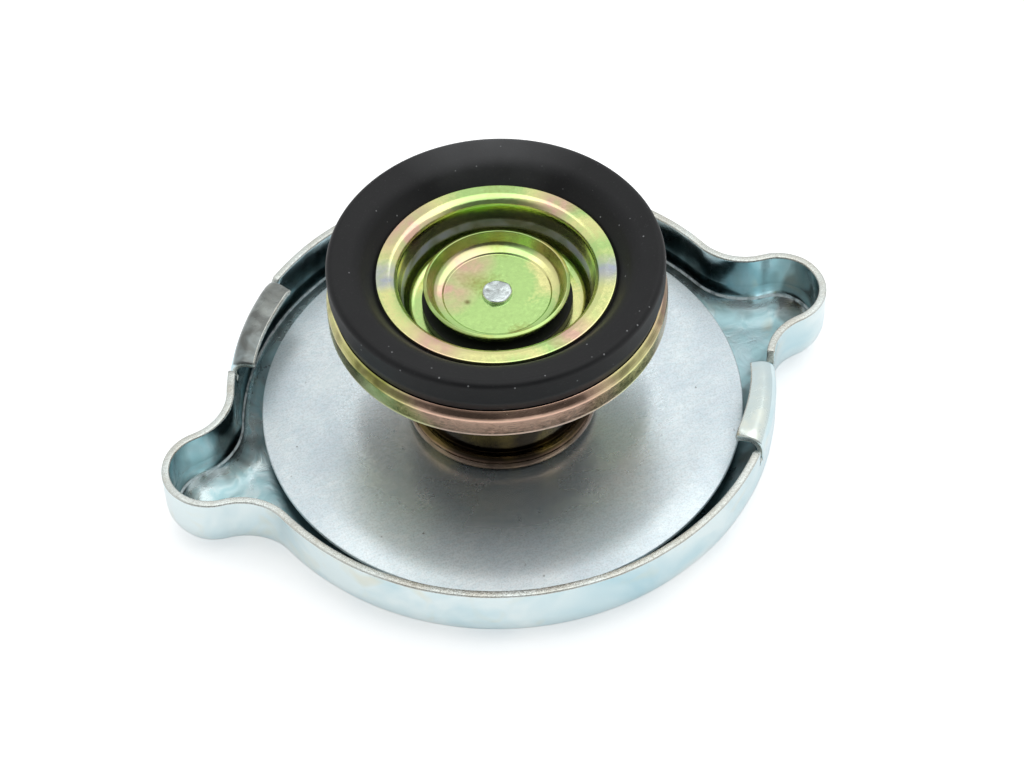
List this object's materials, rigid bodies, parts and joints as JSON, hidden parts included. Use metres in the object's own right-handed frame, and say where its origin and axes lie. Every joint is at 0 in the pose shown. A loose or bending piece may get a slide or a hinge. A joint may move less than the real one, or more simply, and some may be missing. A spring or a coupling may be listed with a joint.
{
  "type": "radiator cap",
  "caption": "Pressed steel filler cap with finger ears and bent-in locking tabs, carrying a sealing disc and a sprung rubber-faced pressure valve with a vacuum valve in its middle.",
  "frame": {"origin": "centre of the shell's outer face, on the valve's axis", "axes": "+Z from the outer face towards the valve, +X along the finger ears"},
  "size_m": [0.0906, 0.0704, 0.0323],
  "materials": {
    "shell_zinc": "bright blue-white zinc plate",
    "disc_zinc": "satin zinc plate",
    "yellow_zinc": "iridescent yellow-passivated zinc plate",
    "black_rubber": "matte black",
    "rivet_steel": "bare, peened",
    "spring_steel": "drawn wire, oiled"
  },
  "bodies": {
    "shell": {"outer_shell": "shell_zinc"},
    "swivel": {"spring_disc": "disc_zinc", "bell_housing": "yellow_zinc", "centre_rivet": "rivet_steel", "pressure_spring": "spring_steel"},
    "pressure_valve": {"guide_sleeve": "yellow_zinc", "valve_carrier": "yellow_zinc", "pressure_gasket": "black_rubber", "gasket_retainer": "yellow_zinc", "vacuum_spring": "spring_steel"},
    "vacuum_valve": {"vacuum_dish": "yellow_zinc", "vacuum_gasket": "black_rubber", "vacuum_stem": "rivet_steel", "vacuum_spring_cap": "yellow_zinc"}
  },
  "joints": [
    {"name": "valve_swivel", "type": "hinge", "parent": "shell", "child": "swivel", "pos_m": [0, 0, 0.0045], "axis": [0, 0, 1], "continuous": true},
    {"name": "pressure_slide", "type": "slide", "parent": "swivel", "child": "pressure_valve", "axis": [0, 0, 1], "range_m": [-0.005, 0], "stiffness_N_per_m": 9000, "deforming": ["pressure_spring"]},
    {"name": "vacuum_slide", "type": "slide", "parent": "pressure_valve", "child": "vacuum_valve", "axis": [0, 0, 1], "range_m": [0, 0.0015], "stiffness_N_per_m": 100, "deforming": ["vacuum_spring"]}
  ]
}
